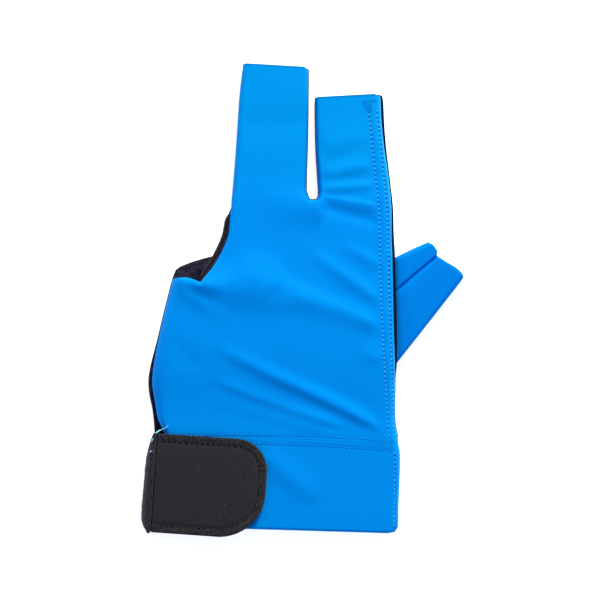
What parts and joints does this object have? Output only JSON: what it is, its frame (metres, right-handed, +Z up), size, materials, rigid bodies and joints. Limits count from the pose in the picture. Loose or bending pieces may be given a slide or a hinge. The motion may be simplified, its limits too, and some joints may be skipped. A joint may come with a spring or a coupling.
{
  "type": "billiard glove",
  "caption": "Open-fingertip billiard glove for the bridge hand, lying palm down: blue stretch back, black palm, thumb sleeve, cuff and closed wrist strap.",
  "frame": {"origin": "middle of the footprint, on the surface that the glove lies on", "axes": "+X across the hand to the thumb, +Y from the wrist to the fingertips, +Z up from the table, out of the back of the hand"},
  "size_m": [0.1262, 0.1842, 0.0118],
  "materials": {
    "blue_cloth": "stretch knit with a soft sheen",
    "black_cloth": "matt stretch knit",
    "black_strap": "brushed loop fabric",
    "black_hook": "matt"
  },
  "bodies": {
    "root": {"back_panel": "blue_cloth", "palm_panel": "black_cloth", "thumb_sleeve": "blue_cloth", "opening_hem": "black_cloth", "cuff_front": "blue_cloth", "cuff_back": "blue_cloth", "strap_base": "black_strap", "strap_tab": "black_strap", "closure_patch": "black_hook"}
  },
  "joints": []
}
